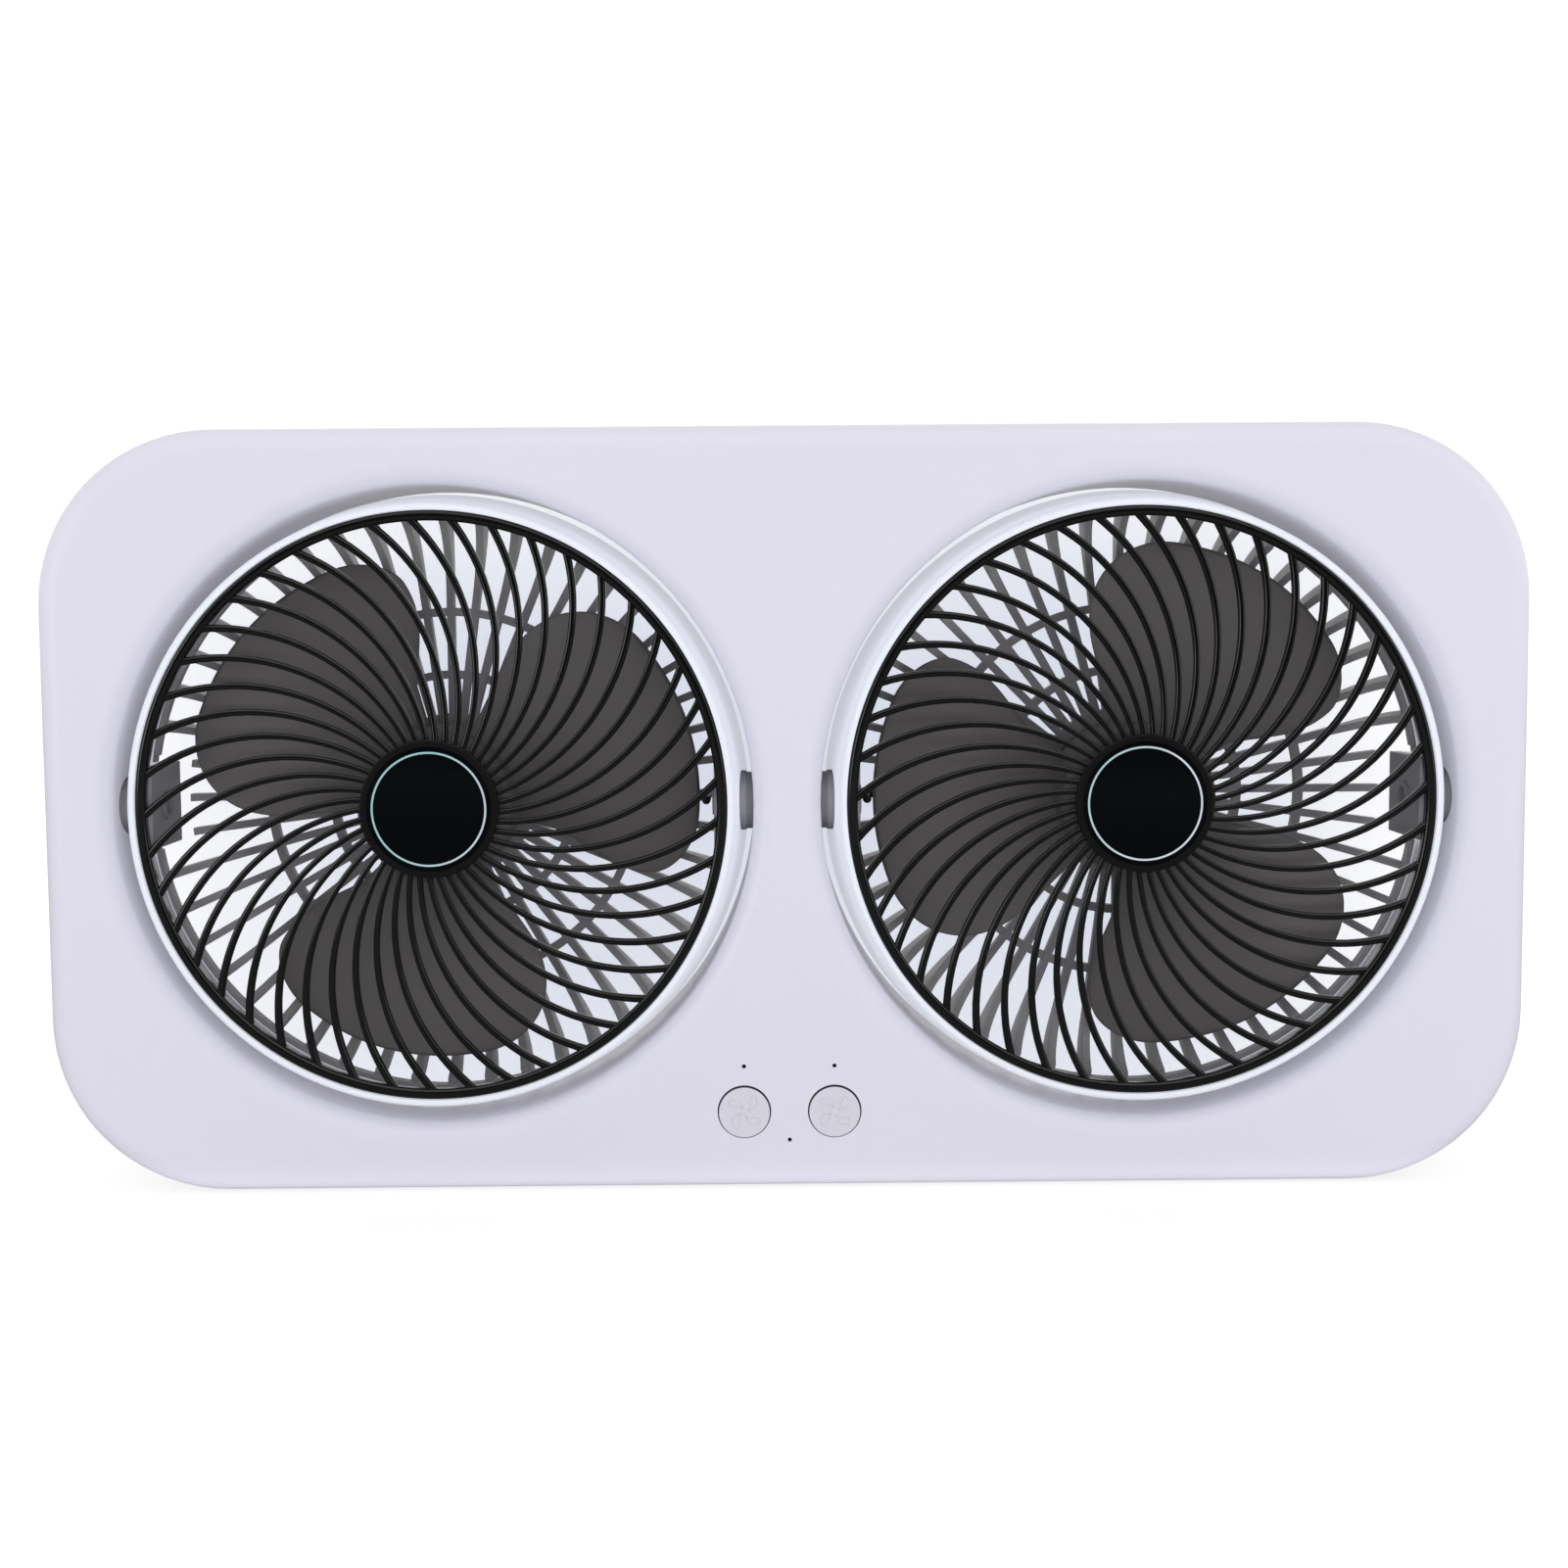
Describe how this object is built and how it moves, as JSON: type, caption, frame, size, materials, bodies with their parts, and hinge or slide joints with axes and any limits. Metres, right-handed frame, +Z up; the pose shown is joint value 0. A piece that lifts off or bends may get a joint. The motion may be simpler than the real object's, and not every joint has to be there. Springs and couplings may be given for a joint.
{
  "type": "twin head car fan",
  "caption": "White rounded panel with round caged fans side by side, each turning in a head that tilts up and down, with push buttons below.",
  "frame": {"origin": "middle of the flat bottom edge that the panel rests on, halfway through its depth", "axes": "+X to the right as seen from the front, +Z up, the front faces -Y"},
  "size_m": [0.34, 0.0435, 0.175],
  "materials": {
    "panel_white": "satin moulded",
    "head_white": "satin moulded",
    "grille_black": "gloss",
    "cap_black": "high gloss",
    "accent_cyan": "gloss",
    "guard_grey": "satin moulded",
    "rotor_grey": "satin moulded",
    "pivot_grey": "satin moulded",
    "button_white": "satin moulded",
    "dark_plastic": "moulded",
    "smoked_plastic": "smoked",
    "led_resin": "clear resin",
    "board_green": "solder mask",
    "cell_sleeve": "shrink sleeve",
    "copper": "enamelled wire",
    "brass": "turned",
    "zinc_steel": "zinc plated",
    "port_steel": "plated",
    "bright_steel": "ground",
    "lead_black": "insulated lead"
  },
  "bodies": {
    "frame": {"front_panel": "panel_white", "rear_cover": "panel_white", "cover_screws": "zinc_steel", "bracket_nuts": "brass", "control_board": "board_green", "board_screws": "zinc_steel", "tact_switches": "dark_plastic", "status_leds": "led_resin", "light_pipes": "smoked_plastic", "lower_battery_cell": "cell_sleeve", "upper_battery_cell": "cell_sleeve", "lower_battery_cradle": "dark_plastic", "upper_battery_cradle": "dark_plastic", "charging_port": "port_steel", "charging_board": "board_green", "left_frame_lead": "lead_black", "right_frame_lead": "lead_black", "left_outer_pivot": "pivot_grey", "left_inner_pivot": "pivot_grey", "right_inner_pivot": "pivot_grey", "right_outer_pivot": "pivot_grey"},
    "left_head": {"left_head_shell": "head_white", "left_rear_guard": "guard_grey", "left_front_grille": "grille_black", "left_hub_cap": "cap_black", "left_accent_ring": "accent_cyan", "left_motor_board": "board_green", "left_stator": "copper", "left_bearings": "bright_steel", "left_motor_lead": "lead_black"},
    "left_rotor": {"left_fan_rotor": "rotor_grey", "left_magnet_can": "bright_steel", "left_motor_shaft": "bright_steel", "left_shaft_clip": "bright_steel"},
    "left_button": {"left_button_cap": "button_white", "left_switch_plunger": "dark_plastic"},
    "right_head": {"right_head_shell": "head_white", "right_rear_guard": "guard_grey", "right_front_grille": "grille_black", "right_hub_cap": "cap_black", "right_accent_ring": "accent_cyan", "right_motor_board": "board_green", "right_stator": "copper", "right_bearings": "bright_steel", "right_motor_lead": "lead_black"},
    "right_rotor": {"right_fan_rotor": "rotor_grey", "right_magnet_can": "bright_steel", "right_motor_shaft": "bright_steel", "right_shaft_clip": "bright_steel"},
    "right_button": {"right_button_cap": "button_white", "right_switch_plunger": "dark_plastic"}
  },
  "joints": [
    {"name": "left_head_tilt", "type": "hinge", "parent": "frame", "child": "left_head", "pos_m": [-0.081, -0.005, 0.089], "axis": [1, 0, 0], "range_deg": [-90, 90]},
    {"name": "left_fan_spin", "type": "hinge", "parent": "left_head", "child": "left_rotor", "pos_m": [-0.081, 0, 0.089], "axis": [0, -1, 0], "continuous": true},
    {"name": "left_button_press", "type": "slide", "parent": "frame", "child": "left_button", "axis": [0, 1, 0], "range_m": [0, 0.001], "stiffness_N_per_m": 300},
    {"name": "right_head_tilt", "type": "hinge", "parent": "frame", "child": "right_head", "pos_m": [0.081, -0.005, 0.089], "axis": [1, 0, 0], "range_deg": [-90, 90]},
    {"name": "right_fan_spin", "type": "hinge", "parent": "right_head", "child": "right_rotor", "pos_m": [0.081, 0, 0.089], "axis": [0, -1, 0], "continuous": true},
    {"name": "right_button_press", "type": "slide", "parent": "frame", "child": "right_button", "axis": [0, 1, 0], "range_m": [0, 0.001], "stiffness_N_per_m": 300}
  ]
}
